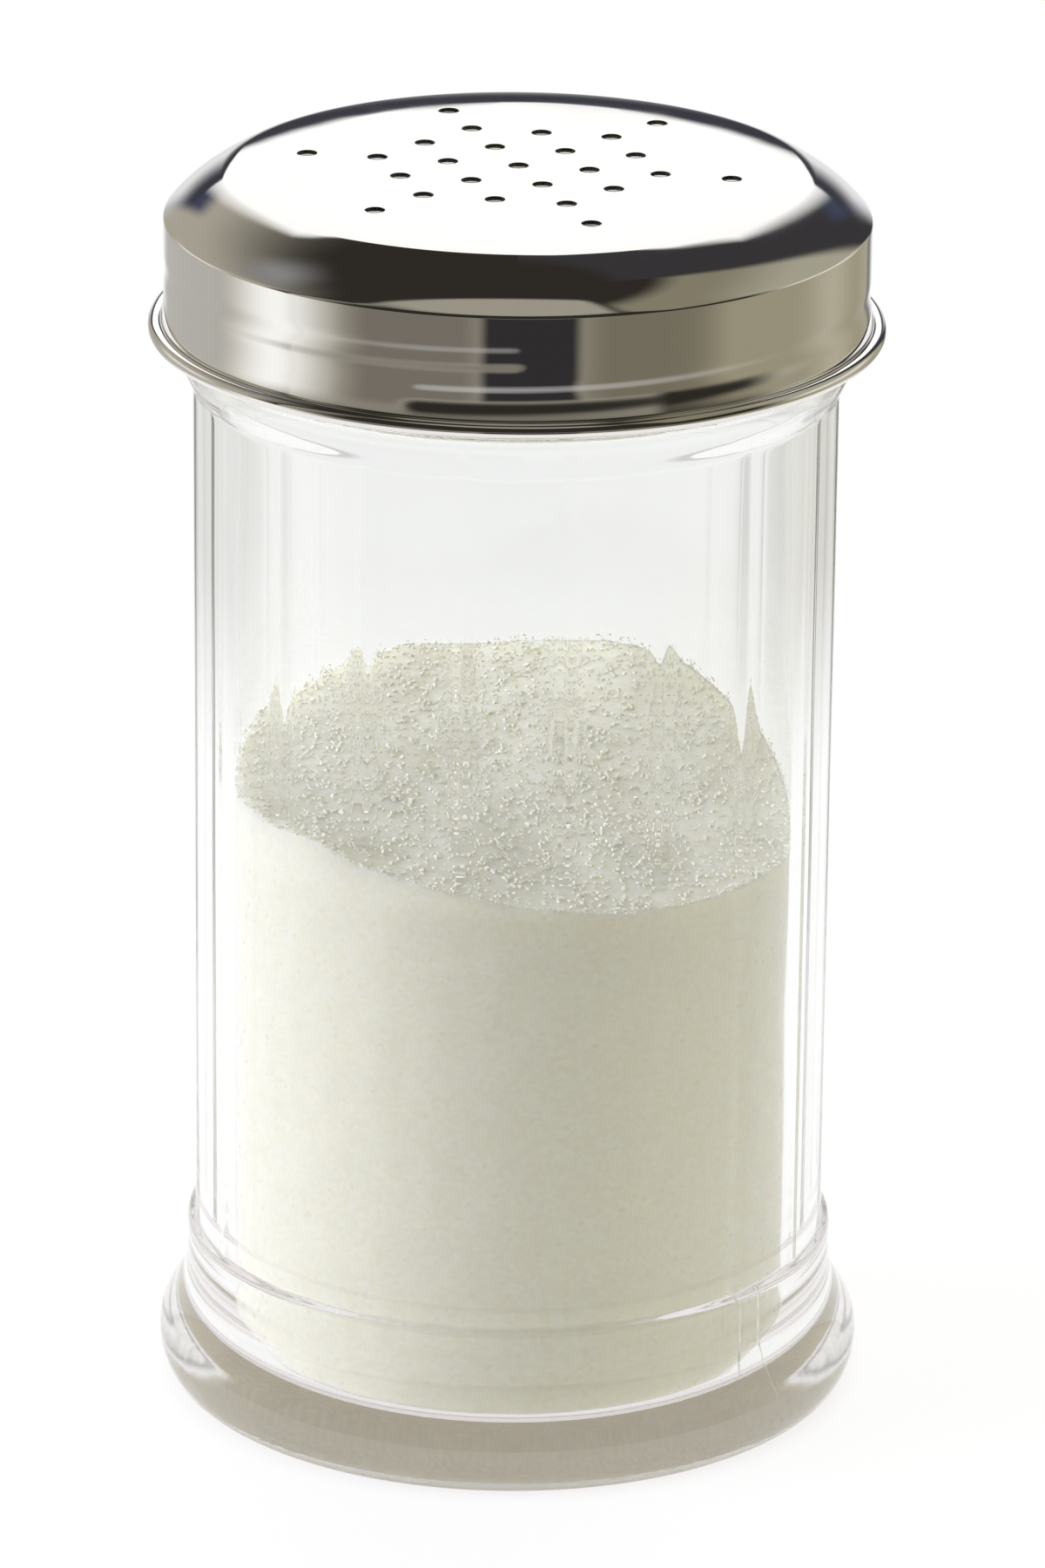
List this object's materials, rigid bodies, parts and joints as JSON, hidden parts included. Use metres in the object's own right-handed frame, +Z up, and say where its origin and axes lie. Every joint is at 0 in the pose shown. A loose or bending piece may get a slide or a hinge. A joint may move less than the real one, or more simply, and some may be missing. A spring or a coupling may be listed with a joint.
{
  "type": "sugar shaker",
  "caption": "Fluted clear glass shaker jar with a flared foot, a pressed steel screw lid with punched holes in its flat crown, and granulated sugar inside.",
  "frame": {"origin": "centre of the flat ring that the jar stands on", "axes": "+Z up along the jar's axis, -Y towards the front that the picture shows, +X to the right of that view"},
  "size_m": [0.0742, 0.0742, 0.1296],
  "materials": {
    "clear_glass": "gloss",
    "polished_steel": "polished",
    "white_sugar": "matte"
  },
  "bodies": {
    "jar": {"glass_jar": "clear_glass", "sugar_fill": "white_sugar"},
    "lid": {"screw_lid": "polished_steel"}
  },
  "joints": [
    {"name": "lid_lift", "type": "slide", "parent": "jar", "child": "lid", "axis": [0, 0, 1], "range_m": [0, 0.04]}
  ]
}
